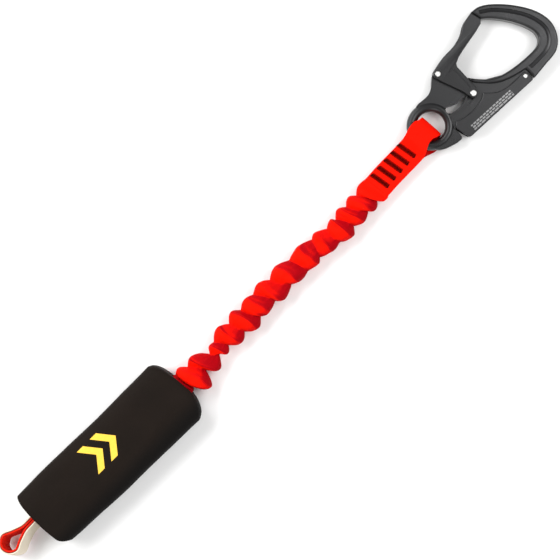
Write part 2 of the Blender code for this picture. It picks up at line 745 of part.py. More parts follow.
def channel_outline():
    """What is open between the gate's cheeks: the whole fork, and the beam down to its inner wall."""
    nose = basket(0.515, 0)[0]
    wall = LEVER_WALL
    floor = [body(26.1, -20), body(26.1, 17.8), body(27.4, 19.0 + wall), body(32.6, 21.4 + wall)]
    floor += [body(42.6, 23.4 + wall), (nose - 9, 25.3 + wall), (nose - 2.2, 27.0 + wall)]
    return floor + [(nose + 5, 29.2 + wall), (nose + 5, 50), body(-10, 50), body(-10, -20)]


def fork_panels():
    """The shallow recesses pressed into both cheeks of the fork, one cutter for each."""
    upper = [(13.6, 12.8), (16.0, 16.6), (19.8, 18.4), (22.7, 17.4)]
    outline = [body(*point) for point in upper + [(22.6, 8.0), (21.9, -0.4), (19.9, -1.8)]]
    return [plate("panel", outline, PANEL_DEPTH, mid=side * GATE_OUTER) for side in (1, -1)]


def taper_towards_nose(obj):
    """Thins a gate solid steadily from the fork to the nose."""
    start = body(26.0, 0)[0] * MM
    end = basket(0.5, 0)[0] * MM
    for vert in obj.data.vertices:
        share = min(max((vert.co.x - start) / (end - start), 0), 1)
        vert.co.z *= 1 + (GATE_TIP_SCALE - 1) * share
    return obj


def build_gate(hook):
    axis = empty("gate_axis", (*GATE_PIVOT, 0), parent=hook)
    origin = (*GATE_PIVOT, 0)
    guide = polar(GATE_PIVOT, GUIDE_RADIUS, GUIDE_ANGLE)
    gate = taper_towards_nose(plate("gate", gate_outline(), GATE_OUTER, 0.5))
    cut(
        gate,
        taper_towards_nose(plate("channel", channel_outline(), GATE_INNER)),
        cylinder("pivot", GATE_PIVOT, PIVOT_SHANK + RIVET_FIT, -9, 9),
        cylinder("guide", guide, GUIDE_SHANK + RIVET_FIT, -9, 9),
        *fork_panels(),
    )
    hang(finish(gate, GATE_BLACK), axis, origin)
    top = GATE_OUTER + RIVET_FIT
    for name, side in (("guide_pin_front", 1), ("guide_pin_back", -1)):
        profile = [(0, top + 0.5), (0.8, top + 0.5), (1.1, top + 0.9), (GUIDE_HEAD - 0.5, top + 0.9)]
        profile += [(GUIDE_HEAD, top + 0.5), (GUIDE_HEAD, top), (GUIDE_SHANK, top)]
        profile += [(GUIDE_SHANK, GROOVE_FLOOR + GAP), (0, GROOVE_FLOOR + GAP)]
        pin = turned(name, profile, guide)
        if side < 0:
            pin.data.transform(Matrix.Rotation(math.pi, 4, "X"))
            pin.data.transform(Matrix.Translation((0, 2 * guide[1] * MM, 0)))
        hang(finish(pin, RIVET_STEEL), axis, origin)


def rivet(name, centre, shank, head, face):
    """A rivet with a low domed head on each side, whose heads stand off the face by the running gap."""
    seat = face + RUNNING_GAP
    crown = seat + HEAD_HEIGHT
    top = [(0, crown), (head - 0.5, crown), (head, seat + 0.4), (head, seat), (shank, seat)]
    return finish(turned(name, top + [(r, -z) for r, z in reversed(top)], centre), RIVET_STEEL)


def torsion_spring(name, centre, coil, bottom, legs):
    """Close turns about a rivet with a straight leg at each end. Legs are (angle, length)."""
    (start, first), (end, last) = legs
    turns = 2 * math.pi + (end - start)
    count = 40
    points = []
    for i in range(count + 1):
        share = i / count
        x, y = polar(centre, coil, start + turns * share)
        points.append((x, y, bottom + SPRING_WIRE / 2 + 1.05 * SPRING_WIRE * turns / (2 * math.pi) * share))
    lead_in = polar(points[0][:2], first, start - math.pi / 2)
    lead_out = polar(points[-1][:2], last, start + turns + math.pi / 2)
    points = [(*lead_in, points[0][2])] + points + [(*lead_out, points[-1][2])]
    return finish(wire(name, points, SPRING_WIRE / 2), SPRING_STEEL, 60)


def lever_outline():
    """The palm lever seen from the side."""
    boss = LEVER_PIVOT
    reach = GUIDE_RADIUS + GUIDE_SHANK + 0.6 + math.tan(LEVER_TRAVEL) * (boss[0] - BODY_U)
    front = arc(GATE_PIVOT, reach, math.radians(-113), math.radians(-74), 12)
    back = [(0.0, -9.6), (0.05, -13.2), (0.12, -16.9), (0.22, -19.0), (0.33, -19.7)]
    points = front + smooth([basket(*point) for point in back])
    points += arc(boss, 3.0, math.radians(80), math.radians(0), 5)
    points += [(boss[0] + 2.6, -27.4), (boss[0] + 1.8, -28.2), body(-1.9, -25.7), body(-3.3, -24.6)]
    return points + [body(-4.9, -19.5), body(-5.6, -14.6), body(-4.4, -12.3)]


def build_lever(hook):
    axis = empty("lever_axis", (*LEVER_PIVOT, 0), parent=hook)
    boss = LEVER_PIVOT
    lever = plate("palm_lever", lever_outline(), LEVER_OUTER, 0.5)
    wall = LEVER_WALL
    inside = [body(-20, -25.7 + wall), (boss[0] + 20, -28.4 + wall), (boss[0] + 20, 10), body(-20, 10)]
    cut(
        lever,
        plate("channel", inside, LEVER_INNER),
        cylinder("pivot", boss, LEVER_SHANK + RIVET_FIT, -9, 9),
    )
    hang(finish(lever, HOOK_BLACK), axis, (*boss, 0))


def build_hook():
    hook = empty("hook_frame_axis", EYE)
    hang(hook_frame(), hook)
    hang(rivet("gate_pivot_rivet", GATE_PIVOT, PIVOT_SHANK, PIVOT_HEAD, GATE_OUTER), hook)
    hang(rivet("lever_pivot_rivet", LEVER_PIVOT, LEVER_SHANK, LEVER_HEAD, LEVER_OUTER), hook)
    gate_legs = ((math.radians(-10), 5.0), (math.radians(282), 16.0))
    coil = PIVOT_SHANK + RIVET_FIT + SPRING_WIRE / 2 + 0.15
    hang(torsion_spring("gate_spring", GATE_PIVOT, coil, WEB_HALF + 0.2, gate_legs), hook)
    lever_legs = ((math.radians(-90), 8.0), (math.radians(90), 8.0))
    coil = LEVER_SHANK + RIVET_FIT + SPRING_WIRE / 2 + 0.15
    hang(torsion_spring("lever_spring", LEVER_PIVOT, coil, 1.1, lever_legs), hook)
    build_gate(hook)
    build_lever(hook)


clear_scene()
PARTS = bpy.data.collections.new("shock_absorbing_lanyard")
bpy.context.scene.collection.children.link(PARTS)
HOOK_BLACK = material("anodised_black", (0.035, 0.036, 0.038), 0.38, 0.85)
GATE_BLACK = material("gate_black", (0.03, 0.03, 0.032), 0.42, 0.85)
RIVET_STEEL = material("rivet_steel", (0.62, 0.62, 0.6), 0.3, 1.0)
SPRING_STEEL = material("spring_steel", (0.45, 0.45, 0.46), 0.35, 1.0)
WEBBING_RED = material("webbing_red", (0.86, 0.016, 0.006), 0.8)
TEAR_RED = material("tear_red", (0.6, 0.014, 0.008), 0.85)
WEBBING_CREAM = material("webbing_cream", (0.66, 0.6, 0.5), 0.85)
THREAD_BLACK = material("thread_black", (0.02, 0.008, 0.008), 0.7)
SLEEVE_BLACK = material("sleeve_black", (0.013, 0.011, 0.009), 0.9)
RUBBER = material("elastic_rubber", (0.5, 0.45, 0.36), 0.7)
build_pack()
build_tail_loop()
build_leg()
build_tab()
build_eye_loop()
build_hook()
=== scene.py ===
"""The looks of the shock absorbing lanyard: gathered webbing, stitching, padded sleeve, anodised hook, light.

Sizes are in millimetres and MM turns them into metres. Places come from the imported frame: the sleeve's
mouth, the middle of the eye that the webbing runs round, and the line where the webbing bends.
"""

import json
import math

import bmesh
import bpy
import numpy as np
from mathutils import Euler, Matrix, Vector, noise


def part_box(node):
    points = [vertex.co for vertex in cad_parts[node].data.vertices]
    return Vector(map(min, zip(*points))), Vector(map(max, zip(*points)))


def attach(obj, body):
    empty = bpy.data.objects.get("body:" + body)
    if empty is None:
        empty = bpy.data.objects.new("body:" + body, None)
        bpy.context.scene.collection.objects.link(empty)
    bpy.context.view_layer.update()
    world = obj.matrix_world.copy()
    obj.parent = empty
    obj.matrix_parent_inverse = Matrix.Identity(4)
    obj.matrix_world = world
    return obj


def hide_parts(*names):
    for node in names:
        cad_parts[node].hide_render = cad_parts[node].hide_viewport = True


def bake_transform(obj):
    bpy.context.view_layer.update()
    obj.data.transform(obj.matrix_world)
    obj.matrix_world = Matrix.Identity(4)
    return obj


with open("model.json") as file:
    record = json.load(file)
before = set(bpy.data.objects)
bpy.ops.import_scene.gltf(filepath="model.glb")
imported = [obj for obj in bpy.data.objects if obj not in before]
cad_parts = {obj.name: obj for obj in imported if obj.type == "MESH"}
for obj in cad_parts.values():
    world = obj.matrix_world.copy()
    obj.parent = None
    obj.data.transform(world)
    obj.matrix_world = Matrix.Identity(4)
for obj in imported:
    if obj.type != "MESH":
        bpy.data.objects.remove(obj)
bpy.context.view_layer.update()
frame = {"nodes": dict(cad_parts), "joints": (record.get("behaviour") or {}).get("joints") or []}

MM = 0.001
TO_METRES = Matrix.Diagonal((MM, MM, MM, 1))
TO_MM = Matrix.Diagonal((1 / MM, 1 / MM, 1 / MM, 1))
JOINTS = {joint["name"]: joint for joint in frame["joints"]}
EYE = np.array(JOINTS["hook_swing"]["pos_m"]) / MM
TILT = np.array(JOINTS["hook_tilt"]["pos_m"]) / MM
TAIL_AXIS = np.array(JOINTS["tail_loop_flex"]["pos_m"]) / MM
TAB_TURN = math.atan2(EYE[1] - TILT[1], EYE[0] - TILT[0])
SLEEVE_LOW, SLEEVE_HIGH = (np.array(corner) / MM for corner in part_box("absorber_sleeve"))
SHEATH_LOW, SHEATH_HIGH = (np.array(corner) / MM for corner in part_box("leg_sheath"))
MOUTH_X = SLEEVE_HIGH[0]

# Webbing
WEB_HALF_WIDTH = 10.0
WEB_THICKNESS = 2.0
LEG_Z = (SHEATH_LOW[2] + SHEATH_HIGH[2]) / 2

# The leg's two edges seen from above: distance from the mouth, distance from the pack's centre line.
# A valley and a crest take turns, and the line between a pair is one valley or one crest of a gather.
UPPER_EDGE = [
    (-8, 7.0), (-3, 8.6), (0, 7.6), (4, 9.3), (10, 5.3), (17, 8.8), (28, 0.8), (32, 5.0), (36, 4.4),
    (45, 10.1), (53, 5.8), (60, 11.3), (66, 7.3), (74, 10.8), (80, 8.6), (89, 11.8), (96, 7.6),
    (105, 11.5), (116, 7.6), (127, 10.4), (138, 6.6), (142, 8.8), (151, 4.3), (157.5, 7.4), (160, 4.8),
    (166, 9.0), (172, 6.1), (178, 9.9), (183, 6.6), (190, 10.8), (197, 10.1),
]
LOWER_EDGE = [
    (-8, -6.0), (0, -10.2), (3, -8.0), (12, -17.2), (18, -6.2), (25, -12.7), (33, -4.2), (37.5, -8.4),
    (42, -5.0), (50.5, -10.2), (57, -5.7), (66, -11.2), (73, -6.5), (78, -8.9), (88, -6.0), (94, -9.8),
    (105, -5.7), (113, -8.9), (120, -7.5), (129, -9.2), (133, -6.5), (144, -10.0), (151, -9.2),
    (161, -12.8), (166, -8.0), (173, -11.0), (181, -7.5), (185.5, -10.8), (191, -7.0), (195.5, -10.9),
    (199, -10.4),
]


def rough(point, scale):
    """Smooth noise from -1 to 1 at a point in millimetres. Scale is the size of its lumps."""
    return noise.noise(Vector(point) / scale)


def smoothstep(low, high, value):
    share = np.clip((np.asarray(value, float) - low) / (high - low), 0, 1)
    return share * share * (3 - 2 * share)


# ---------------------------------------------------------------- meshes


def mesh_object(name, points, faces):
    """An object whose points are in millimetres, with its faces turned outwards."""
    mesh = bpy.data.meshes.new(name)
    mesh.from_pydata((np.asarray(points, float) * MM).tolist(), [], faces)
    edit = bmesh.new()
    edit.from_mesh(mesh)
    bmesh.ops.recalc_face_normals(edit, faces=edit.faces)
    edit.to_mesh(mesh)
    edit.free()
    mesh.shade_smooth()
    obj = bpy.data.objects.new(name, mesh)
    bpy.context.scene.collection.objects.link(obj)
    return obj


def skin(name, rings, capped=True):
    """A quad surface through closed rings of equal point counts."""
    rings = np.asarray(rings, float)
    count, around = rings.shape[:2]
    here = np.arange(count * around).reshape(count, around)
    beside = np.roll(here, -1, axis=1)
    faces = np.stack([here[:-1], beside[:-1], beside[1:], here[1:]], axis=-1).reshape(-1, 4).tolist()
    if capped:
        faces += [here[0].tolist(), here[-1].tolist()]
    return mesh_object(name, rings.reshape(-1, 3), faces)


def tag_cloth(obj, along, across, painted_shade):
    """Gives each point its place in the flat cloth, in millimetres, and how much painted shade its colour
    takes.
    """
    values = np.stack(np.broadcast_arrays(along, across, painted_shade), axis=-1).astype(np.float32)
    layer = obj.data.attributes.new("cloth", "FLOAT_VECTOR", "POINT")
    layer.data.foreach_set("vector", values.ravel())


def paint(obj, *materials):
    obj.data.materials.clear()
    for made in materials:
        obj.data.materials.append(made)
    return obj


def thread(name, points, radius):
    """A round thread through points in millimetres, as a mesh."""
    curve = bpy.data.curves.new(name, "CURVE")
    curve.dimensions = "3D"
    curve.bevel_depth = radius * MM
    curve.bevel_resolution = 2
    curve.use_fill_caps = True
    spline = curve.splines.new("POLY")
    spline.points.add(len(points) - 1)
    for spot, point in zip(spline.points, points):
        spot.co = (*(Vector(point) * MM), 1)
    source = bpy.data.objects.new(name + "_curve", curve)
    bpy.context.scene.collection.objects.link(source)
    bpy.context.view_layer.update()
    mesh = bpy.data.meshes.new_from_object(source.evaluated_get(bpy.context.evaluated_depsgraph_get()))
    bpy.data.objects.remove(source, do_unlink=True)
    mesh.name = name
    mesh.shade_smooth()
    obj = bpy.data.objects.new(name, mesh)
    bpy.context.scene.collection.objects.link(obj)
    return obj


def joined(name, objects):
    """Several meshes as one object."""
    edit = bmesh.new()
    for obj in objects:
        edit.from_mesh(obj.data)
    mesh = bpy.data.meshes.new(name)
    edit.to_mesh(mesh)
    edit.free()
    mesh.shade_smooth()
    for obj in objects:
        bpy.data.objects.remove(obj, do_unlink=True)
    made = bpy.data.objects.new(name, mesh)
    bpy.context.scene.collection.objects.link(made)
    return made


# ---------------------------------------------------------------- materials


class Surface:
    """A material and short calls for its nodes."""

    def __init__(self, name, roughness, metallic=0.0):
        self.material = bpy.data.materials.new(name)
        self.material.use_nodes = True
        self.tree = self.material.node_tree
        self.shader = self.tree.nodes["Principled BSDF"]
        self.shader.inputs["Roughness"].default_value = roughness
        self.shader.inputs["Metallic"].default_value = metallic

    def node(self, kind, **settings):
        made = self.tree.nodes.new("ShaderNode" + kind)
        for key, value in settings.items():
            setattr(made, key, value)
        return made

    def feed(self, socket, value):
        if isinstance(value, bpy.types.NodeSocket):
            self.tree.links.new(value, socket)
        else:
            socket.default_value = value

    def math(self, operation, *values):
        made = self.node("Math", operation=operation)
        for socket, value in zip(made.inputs, values):
            self.feed(socket, value)
        return made.outputs[0]

    def ramp(self, value, low, high, to_low=0.0, to_high=1.0):
        """The value's range from low to high, stretched smoothly over another."""
        made = self.node("MapRange", interpolation_type="SMOOTHSTEP")
        for socket, given in zip(made.inputs, (value, low, high, to_low, to_high)):
            self.feed(socket, given)
        return made.outputs[0]

    def split(self, vector):
        made = self.node("SeparateXYZ")
        self.feed(made.inputs[0], vector)
        return made.outputs

    def place(self):
        """The point in the object, in millimetres."""
        coordinates = self.node("TexCoord").outputs["Object"]
        made = self.node("VectorMath", operation="SCALE")
        self.feed(made.inputs[0], coordinates)
        made.inputs["Scale"].default_value = 1 / MM
        return made.outputs[0]

    def cloth(self):
        return self.node("Attribute", attribute_name="cloth").outputs["Vector"]

    def noise(self, vector, size, detail=2.0):
        """Noise from 0 to 1 in lumps of that many millimetres."""
        made = self.node("TexNoise")
        self.feed(made.inputs["Vector"], vector)
        made.inputs["Scale"].default_value = 1 / size
        made.inputs["Detail"].default_value = detail
        return made.outputs["Fac"]

    def mix(self, share, first, second):
        made = self.node("Mix", data_type="RGBA")
        self.feed(made.inputs[0], share)
        for socket, value in zip((s for s in made.inputs if s.type == "RGBA"), (first, second)):
            self.feed(socket, value)
        return next(s for s in made.outputs if s.type == "RGBA")

    def colour(self, value):
        self.feed(self.shader.inputs["Base Color"], value)

    def bump(self, height, distance, strength):
        made = self.node("Bump")
        made.inputs["Strength"].default_value = strength
        made.inputs["Distance"].default_value = distance * MM
        self.feed(made.inputs["Height"], height)
        self.feed(self.shader.inputs["Normal"], made.outputs[0])


FABRIC_SPECULAR = 0.05
WEAVE_PITCH = 1.1  # from one rib of the twill to the next
TWILL_TURN = 2.6  # how far the ribs run before they turn back
TWILL_SLANT = 0.55


def colour(*srgb):
    """A colour from its 0 to 255 values on screen."""
    return (*[(c / 255 / 12.92 if c < 10.3 else ((c / 255 + 0.055) / 1.055) ** 2.4) for c in srgb], 1.0)


def weave(surface, where):
    """Height of a twill whose ribs run across the webbing and turn back at its middle and quarters."""
    x, y, _ = surface.split(where)
    zigzag = surface.math("PINGPONG", y, TWILL_TURN)
    turned = surface.math("MULTIPLY_ADD", zigzag, TWILL_SLANT, x)
    ribs = surface.math("SINE", surface.math("MULTIPLY", turned, 2 * math.pi / WEAVE_PITCH))
    ends = surface.math("SINE", surface.math("MULTIPLY", y, 2 * math.pi / (0.8 * WEAVE_PITCH)))
    return surface.math("MULTIPLY_ADD", ends, 0.45, ribs)


def webbing_material(name, light, dark, where_from="cloth"):
    """Woven polyester in its light colour, turned towards the dark one by painted shade from the cloth
    attribute and by noise.
    """
    surface = Surface(name, 0.72)
    where = surface.cloth() if where_from == "cloth" else surface.place()
    height = weave(surface, where)
    painted_shade = surface.split(where)[2] if where_from == "cloth" else 0.0
    patch = surface.noise(surface.place(), 9.0, 3.0)
    shade = surface.math("MULTIPLY_ADD", surface.math("SUBTRACT", patch, 0.5), 0.3, painted_shade)
    # Painted shade: the weave's low threads come out a little darker.
    shade = surface.math("MULTIPLY_ADD", height, -0.07, shade)
    surface.colour(surface.mix(surface.ramp(shade, 0.12, 0.95), light, dark))
    surface.bump(height, 0.12, 0.55)
    surface.shader.inputs["Specular IOR Level"].default_value = FABRIC_SPECULAR
    return surface.material


def thread_material(name, shade):
    surface = Surface(name, 0.5)
    where = surface.place()
    strands = surface.math("SINE", surface.math("MULTIPLY", surface.noise(where, 0.5, 3.0), 40.0))
    surface.shader.inputs["Specular IOR Level"].default_value = FABRIC_SPECULAR
    surface.colour(surface.mix(surface.noise(where, 1.2), shade, tuple(1.5 * c for c in shade[:3]) + (1.0,)))
    surface.bump(strands, 0.05, 0.4)
    return surface.material


def rubber_material():
    surface = Surface("elastic_rubber", 0.6)
    where = surface.place()
    surface.colour(surface.mix(surface.noise(where, 4.0), colour(205, 195, 170), colour(160, 148, 120)))
    surface.bump(surface.noise(where, 0.8), 0.1, 0.5)
    return surface.material


MARK_MIDDLE = (-0.3, 6.8)  # the yellow mark on the sleeve, on the pack
MARK_HALF_HEIGHT = 11.0
MARK_PITCH = 13.0
MARK_BAR = 6.2
MARK_BACK = 5.2  # from the mark's middle back to the first chevron's point
MARK_SLOPE = 0.8  # how far a chevron falls back for each step to the side
MARK_LOWEST = 16.0  # the mark is printed on the sleeve's top only
SLEEVE_THREAD = 0.7


def chevron_mask(surface, where):
    """1 inside two chevrons that point to the leg."""
    x, y, z = surface.split(where)
    side = surface.math("ABSOLUTE", surface.math("SUBTRACT", y, MARK_MIDDLE[1]))
    from_tail = surface.math("SUBTRACT", x, MARK_MIDDLE[0] - MARK_BACK)
    back = surface.math("MULTIPLY_ADD", side, MARK_SLOPE, from_tail)
    repeat = surface.math("MODULO", back, MARK_PITCH)
    bar = surface.math("LESS_THAN", repeat, MARK_BAR)
    start = surface.math("GREATER_THAN", back, 0.0)
    stop = surface.math("LESS_THAN", back, 2 * MARK_PITCH)
    tall = surface.math("LESS_THAN", side, MARK_HALF_HEIGHT)
    top = surface.math("GREATER_THAN", z, MARK_LOWEST)
    mask = bar
    for other in (start, stop, tall, top):
        mask = surface.math("MULTIPLY", mask, other)
    return mask


def sleeve_material():
    """Close-woven nylon over foam, with a printed mark."""
    surface = Surface("sleeve_black", 0.62)
    where = surface.place()
    x, y, _ = surface.split(where)
    warp = surface.math("SINE", surface.math("MULTIPLY", x, 2 * math.pi / SLEEVE_THREAD))
    weft = surface.math("SINE", surface.math("MULTIPLY", y, 2 * math.pi / SLEEVE_THREAD))
    grain = surface.math("MULTIPLY", warp, weft)
    base = surface.mix(surface.noise(where, 24.0, 4.0), colour(31, 24, 20), colour(22, 18, 15))
    dust = surface.ramp(surface.noise(where, 1.1, 2.0), 0.66, 0.85, 0.0, 0.1)
    base = surface.mix(dust, base, colour(66, 57, 50))
    # Painted shade: the sleeve turns darker towards its lower side.
    base = surface.mix(surface.ramp(y, -10.0, -23.0), base, colour(19, 17, 16))
    ink = surface.mix(surface.noise(where, 2.0), colour(250, 208, 84), colour(236, 190, 66))
    mask = chevron_mask(surface, where)
    surface.colour(surface.mix(mask, base, ink))
    surface.bump(surface.math("MULTIPLY_ADD", surface.noise(where, 3.0), 1.5, grain), 0.06, 0.5)
    surface.shader.inputs["Specular IOR Level"].default_value = FABRIC_SPECULAR
    return surface.material


def anodised_material(name, light, dark, roughness):
    surface = Surface(name, roughness, 0.55)
    where = surface.place()
    surface.colour(surface.mix(surface.noise(where, 40.0, 2.0), light, dark))
    rough_map = surface.ramp(surface.noise(where, 9.0, 3.0), 0.3, 0.7, roughness - 0.03, roughness + 0.04)
    surface.feed(surface.shader.inputs["Roughness"], rough_map)
    surface.bump(surface.noise(where, 0.35, 2.0), 0.02, 0.2)
    return surface


ETCHED_START = (8.5, 3.4)  # from the lever's lowest corner to the first bar, along and across
ETCHED_LENGTH = 38.0
ETCHED_HEIGHT = 5.2
ETCHED_SLOPE = -0.045
ETCHED_SHARE = 0.45  # how far the bars' grey replaces the black


def lever_material():
    """The anodised lever with rows of fine etched bars along both cheeks."""
    surface = anodised_material("lever_black", colour(44, 44, 45), colour(37, 37, 38), 0.33)
    where = surface.place()
    x, y, _ = surface.split(where)
    low = np.array(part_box("palm_lever")[0]) / MM
    along = surface.math("SUBTRACT", x, low[0] + ETCHED_START[0])
    above = surface.math("SUBTRACT", y, low[1] + ETCHED_START[1])
    row = surface.math("SUBTRACT", above, surface.math("MULTIPLY", along, ETCHED_SLOPE))
    bricks = surface.node("TexBrick", offset=0.37, squash=1.35, squash_frequency=3)
    at = surface.node("CombineXYZ")
    surface.feed(at.inputs[0], along)
    surface.feed(at.inputs[1], row)
    surface.feed(bricks.inputs["Vector"], at.outputs[0])
    for key, value in (("Scale", 1.0), ("Mortar Size", 0.34), ("Brick Width", 3.1), ("Row Height", 1.75)):
        bricks.inputs[key].default_value = value
    bricks.inputs["Mortar Smooth"].default_value = 0.1
    mask = surface.math("SUBTRACT", 1.0, bricks.outputs["Fac"])
    up = surface.math("ABSOLUTE", surface.split(surface.node("NewGeometry").outputs["Normal"])[2])
    limits = [("GREATER_THAN", along, 0.0), ("LESS_THAN", along, ETCHED_LENGTH), ("GREATER_THAN", row, 0.0)]
    limits += [("LESS_THAN", row, ETCHED_HEIGHT), ("GREATER_THAN", up, 0.9)]
    for limit in limits:
        mask = surface.math("MULTIPLY", mask, surface.math(*limit))
    under = surface.shader.inputs["Base Color"].links[0].from_socket
    surface.colour(surface.mix(surface.math("MULTIPLY", mask, ETCHED_SHARE), under, colour(180, 180, 180)))
    return surface.material


def steel_material(name, light, dark, roughness):
    surface = Surface(name, roughness, 1.0)
    where = surface.place()
    surface.colour(surface.mix(surface.noise(where, 1.5, 5.0), light, dark))
    rough_map = surface.ramp(surface.noise(where, 0.8, 4.0), 0.3, 0.7, roughness - 0.08, roughness + 0.1)
    surface.feed(surface.shader.inputs["Roughness"], rough_map)
    surface.bump(surface.noise(where, 0.3, 2.0), 0.02, 0.4)
    return surface.material


def floor_material():
    surface = Surface("studio_floor", 0.85)
    patches = surface.noise(surface.place(), 160.0)
    surface.colour(surface.mix(patches, colour(247, 247, 246), colour(244, 244, 244)))
    return surface.material


# ---------------------------------------------------------------- leg

RING_POINTS = 72
STEPS_PER_RIB = 12
PARTIAL_FOLD = 1.3  # depth of the furrow that runs part of the way over each gather
FOLD_LEAN = 2.2  # how far a gather's top leans back towards the pack
RELIEF = 0.2  # share of the leg's thickness that the valleys are lower by
HEIGHT_SHARE = 0.38  # a gather's half height as a share of its width
HALF_HEIGHTS = (3.2, 8.7)  # the least and the most that it may be
FLAT_HALF = 2.5  # half the height where the tube runs flat into the tab
FLAT_RUN = 7.0
LIFT_RUN = 30.0  # the leg rises to the eye's height over this length
STRANDS = 3
STRAND_RADIUS = 1.05
STRAND_SPREAD = 1.25  # from the leg's centre line to a strand's
STRAND_STEP = 2.1  # radians from one strand to the next
STRAND_LAY = 14.0  # millimetres along the leg for a radian of twist


def section(bluntness_y, bluntness_z, count=RING_POINTS):
    """A rounded cross-section: how far towards the upper edge, and how far up, both from -1 to 1."""
    angle = np.arange(count) * 2 * math.pi / count
    side = np.sign(np.cos(angle)) * np.abs(np.cos(angle)) ** bluntness_y
    up = np.sign(np.sin(angle)) * np.abs(np.sin(angle)) ** bluntness_z
    return side, up


def rib_stations():
    """Rows of (upper x, upper y, lower x, lower y, how far up a crest, rib number) along the leg."""
    rows = []
    last = len(UPPER_EDGE) - 2
    for rib in range(last + 1):
        rising = rib % 2 == 0
        for step in range(STEPS_PER_RIB):
            along = step / STEPS_PER_RIB
            climb = along if rising else 1 - along
            crest = math.sin(climb * math.pi / 2)
            row = []
            for edge in (UPPER_EDGE, LOWER_EDGE):
                (x0, y0), (x1, y1) = edge[rib], edge[rib + 1]
                height = y0 + (y1 - y0) * crest if rising else y1 + (y0 - y1) * crest
                row += [x0 + (x1 - x0) * along, height]
            rows.append(row + [crest, rib + along])
    return np.array(rows)


def partial_folds(rib, side):
    """0 to 1: one soft furrow on each gather, which starts at either selvedge and fades out on the way."""
    gather = np.floor(rib / 2)
    phase = rib / 2 - gather
    middle = 0.5 + 0.2 * np.sin(5.1 * gather)
    towards = np.where(np.sin(3.7 * gather) > 0, 1.0, -1.0)
    fade = smoothstep(-0.35, 0.85, towards[:, None] * side[None, :])
    return np.exp(-(((phase - middle) / 0.085) ** 2))[:, None] * fade


def far_slopes(rib, side):
    """How deep in shade each gather's far slope is: soft past its crest, deepest at the lower edge."""
    gather = np.floor(rib / 2)
    phase = (rib / 2 - gather)[:, None]
    ripple = 0.06 * np.sin(1.7 * gather[:, None] + 1.4 * side[None, :])
    edge = 0.46 + 0.1 * np.sin(2.3 * gather)[:, None] + ripple
    depth = 0.72 + 0.22 * np.sin(4.1 * gather + 1.0)[:, None] + 0.3 * smoothstep(-0.5, 0.9, -side)[None, :]
    # A painted highlight: a lighter line across the slope, where a fold would catch the light.
    ridge = 0.22 * np.exp(-(((phase - edge - 0.24) / 0.05) ** 2))
    # Painted shade in the valley at the start of each gather.
    foot = 0.35 * (1 - smoothstep(0.0, 0.16, phase))
    return depth * smoothstep(-0.02, 0.2, phase - edge) - ridge + foot


def leg_mesh():
    """The gathered tube of webbing, one ring along each fold line, with its centre line."""
    rows = rib_stations()
    upper = np.stack([rows[:, 0] + MOUTH_X, rows[:, 1]], axis=-1)
    lower = np.stack([rows[:, 2] + MOUTH_X, rows[:, 3]], axis=-1)
    crest, rib = rows[:, 4], rows[:, 5]
    middle_x = (upper[:, 0] + lower[:, 0]) / 2
    flat = smoothstep(SHEATH_HIGH[0] - FLAT_RUN, SHEATH_HIGH[0] + 0.5, middle_x)
    gathered = np.clip(HEIGHT_SHARE * (upper[:, 1] - lower[:, 1]), *HALF_HEIGHTS)
    half_z = gathered * (1 - flat) + FLAT_HALF * flat
    middle_z = LEG_Z + (EYE[2] - LEG_Z) * smoothstep(SHEATH_HIGH[0] - LIFT_RUN, SHEATH_HIGH[0], middle_x)
    side, up = section(0.8, 0.85)
    share = ((side + 1) / 2)[None, :]
    plan = lower[:, None, :] * (1 - share[..., None]) + upper[:, None, :] * share[..., None]
    bow = 1.5 * np.sin(1.9 * rib) * (1 - flat)
    lean = FOLD_LEAN * crest * (1 - flat) * (0.7 + 0.5 * np.sin(2.7 * rib))
    half_z = half_z * (1 - RELIEF * (1 - crest) * (1 - flat))
    x = plan[..., 0] + bow[:, None] * (1 - side[None, :] ** 2) - lean[:, None] * np.clip(up, 0, 1)[None, :]
    z = middle_z[:, None] + half_z[:, None] * up[None, :]
    rings = np.stack([x, plan[..., 1], z], axis=-1)
    furrow = partial_folds(rib, side) * (1 - flat)[:, None]
    for i, ring in enumerate(rings):
        amount = 1 - flat[i]
        for j, point in enumerate(ring):
            point[2] -= PARTIAL_FOLD * furrow[i, j] * max(up[j], 0)
            swell = 0.75 * rough(point, 7.0) + 0.3 * rough(point, 2.6)
            pucker = 0.3 * (1 - crest[i]) * math.sin(13 * side[j])
            point[2] += amount * (swell + pucker) * up[j]
            point[1] += amount * 0.5 * rough(point + 40, 6.0) * side[j]
    obj = skin("leg_webbing", rings)
    steps = np.linalg.norm(np.diff(rings, axis=0), axis=2).mean(axis=1)
    along = np.concatenate([[0], np.cumsum(steps)])
    # Painted shade: the far slope of each gather, the side towards the lower selvedge, and the furrows take
    # the dark colour.
    shade = far_slopes(rib, side) * (1 - flat)[:, None]
    painted_shade_lower_side = smoothstep(0.25, 0.95, -side) * 0.55
    painted_shade = shade + painted_shade_lower_side[None, :] * (1 - flat)[:, None] + 0.5 * furrow
    painted_shade = np.clip(painted_shade, 0, 1)
    tag_cloth(obj, along[:, None], (WEB_HALF_WIDTH * side)[None, :], painted_shade)
    route = np.stack([middle_x, (upper[:, 1] + lower[:, 1]) / 2, middle_z], axis=-1)
    return obj, route


def centre_line(route, start_x, end_x, count):
    """The route's points at even steps along X, smoothed over a gather's length."""
    x = np.linspace(start_x, end_x, count)
    reach = 4.5
    weights = np.exp(-(((x[:, None] - route[None, :, 0]) / reach) ** 2))
    weights /= weights.sum(axis=1, keepdims=True)
    return np.stack([x, weights @ route[:, 1], weights @ route[:, 2]], axis=-1)


